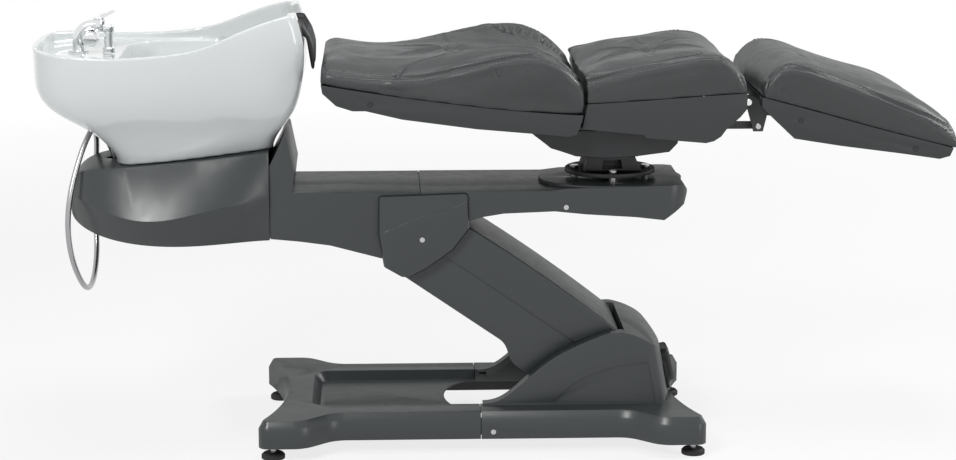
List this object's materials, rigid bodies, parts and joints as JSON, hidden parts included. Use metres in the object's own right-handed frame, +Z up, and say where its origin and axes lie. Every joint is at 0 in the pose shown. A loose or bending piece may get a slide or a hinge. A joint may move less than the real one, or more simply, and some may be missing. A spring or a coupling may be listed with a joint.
{
  "type": "hair washing bed",
  "caption": "Hair washing bed: a glossy basin with mixer and spray at the head, and an upholstered couch on a powered parallelogram lift over a low covered base",
  "frame": {"origin": "on the floor, below the centre of the bounding box", "axes": "+X runs from the bowl to the foot end, +Y away from the side that faces the viewer, +Z up"},
  "size_m": [1.9483, 0.572, 0.9331],
  "materials": {
    "frame_steel": "satin black powder coat",
    "pin_steel": "ground steel",
    "foot_rubber": "matt moulded rubber",
    "cover_graphite": "smooth satin-gloss graphite moulding",
    "cover_dark": "fine-grained black moulding",
    "shell_graphite": "satin dark grey moulding",
    "bowl_white": "glossy pale white",
    "upholstery": "soft synthetic leather with stitched seams",
    "soft_black": "soft black moulded gel",
    "chrome": "polished plating",
    "screw_steel": "plain steel button head",
    "braid_steel": "braided sleeve",
    "drain_plastic": "pale grey moulding",
    "socket_black": "black moulding"
  },
  "bodies": {
    "base": {"base_frame": "frame_steel", "foot_stems": "pin_steel", "foot_pads": "foot_rubber", "lower_pivot_shaft": "pin_steel", "lower_link_pins": "pin_steel", "actuator_base_pin": "pin_steel", "base_front_cover": "cover_graphite", "base_rear_cover": "cover_graphite", "control_box": "cover_dark", "inlet_panel": "cover_dark", "power_inlet": "socket_black", "rear_junction_cover": "cover_dark", "base_cover_screws": "screw_steel"},
    "lift_arm": {"lift_arm_frame": "frame_steel", "actuator_top_pin": "pin_steel", "arm_upper_cover": "cover_graphite"},
    "levelling_link": {"levelling_link_bars": "frame_steel", "arm_lower_cover": "cover_dark"},
    "actuator": {"actuator_body": "frame_steel"},
    "actuator_ram": {"actuator_rod": "chrome"},
    "boom": {"boom_frame": "frame_steel", "upper_pivot_shaft": "pin_steel", "upper_link_pins": "pin_steel", "bowl_pedestal_cover": "cover_graphite", "seat_boom_cover": "cover_graphite", "knuckle_cover_near": "cover_graphite", "knuckle_cover_far": "cover_graphite", "boom_cover_screws": "screw_steel", "mount_disc": "frame_steel", "mount_studs": "screw_steel", "riser_bracket": "frame_steel", "bowl": "bowl_white", "neck_rest": "soft_black", "drain_tailpiece": "drain_plastic", "mixer_body": "chrome", "spray_socket": "chrome", "shower_hose": "braid_steel", "supply_hoses": "braid_steel", "water_inlets": "pin_steel", "seat_frame": "frame_steel", "seat_lower_pan": "shell_graphite", "seat_shell": "shell_graphite", "seat_cushion": "upholstery", "back_hinge_pins": "pin_steel", "leg_hinge_pins": "chrome"},
    "backrest": {"backrest_frame": "frame_steel", "backrest_shell": "shell_graphite", "backrest_cushion": "upholstery", "backrest_screws": "cover_dark"},
    "legrest": {"legrest_brackets": "frame_steel", "legrest_shell": "shell_graphite", "legrest_cushion": "upholstery", "legrest_screws": "cover_dark", "leg_link_pins": "screw_steel"},
    "leg_link": {"leg_links": "frame_steel"},
    "strainer": {"drain_strainer": "chrome"},
    "mixer_knob": {"mixer_cap": "chrome"},
    "mixer_handle": {"mixer_lever": "chrome"},
    "spray": {"spray_handle": "chrome"}
  },
  "joints": [
    {"name": "lift", "type": "hinge", "parent": "base", "child": "lift_arm", "pos_m": [0.257, 0, 0.192], "axis": [0, -1, 0], "range_deg": [0, 26]},
    {"name": "levelling", "type": "hinge", "parent": "base", "child": "levelling_link", "pos_m": [0.197, 0, 0.117], "axis": [0, -1, 0], "range_deg": [0, 26]},
    {"name": "boom_level", "type": "hinge", "parent": "lift_arm", "child": "boom", "pos_m": [-0.14682, 0, 0.46954], "axis": [0, -1, 0], "range_deg": [-26, 0]},
    {"name": "actuator_swing", "type": "hinge", "parent": "base", "child": "actuator", "pos_m": [0.163, 0, 0.075], "axis": [0, -1, 0], "range_deg": [0, 24]},
    {"name": "actuator_stroke", "type": "slide", "parent": "actuator", "child": "actuator_ram", "axis": [-0.5054, 0, 0.8629], "range_m": [-0.0672, 0]},
    {"name": "back_recline", "type": "hinge", "parent": "boom", "child": "backrest", "pos_m": [0.081, 0, 0.768], "axis": [0, 1, 0], "range_deg": [0, 40]},
    {"name": "leg_lift", "type": "hinge", "parent": "boom", "child": "legrest", "pos_m": [0.535, 0, 0.75], "axis": [0, 1, 0], "range_deg": [-15, 60]},
    {"name": "leg_link_pivot", "type": "hinge", "parent": "legrest", "child": "leg_link", "pos_m": [0.556, 0, 0.699], "axis": [0, 1, 0], "range_deg": [-60, 15]},
    {"name": "strainer_lift", "type": "slide", "parent": "boom", "child": "strainer", "axis": [0, 0, 1], "range_m": [0, 0.03]},
    {"name": "mixer_temperature", "type": "hinge", "parent": "boom", "child": "mixer_knob", "pos_m": [-0.857, -0.031, 0.868], "axis": [0, 1, 0], "range_deg": [-40, 40]},
    {"name": "mixer_flow", "type": "hinge", "parent": "boom", "child": "mixer_handle", "pos_m": [-0.84, 0, 0.91], "axis": [0, 0, 1], "range_deg": [-30, 30]},
    {"name": "spray_lift", "type": "slide", "parent": "boom", "child": "spray", "axis": [0, 0, 1], "range_m": [0, 0.12]}
  ],
  "couplings": [
    {"joint": "levelling", "follows": "lift", "ratio": 1},
    {"joint": "boom_level", "follows": "lift", "ratio": -1},
    {"joint": "actuator_swing", "follows": "lift", "ratio": 0.912},
    {"joint": "actuator_stroke", "follows": "lift", "m_per_rad": -0.1465},
    {"joint": "leg_link_pivot", "follows": "leg_lift", "ratio": -1}
  ]
}
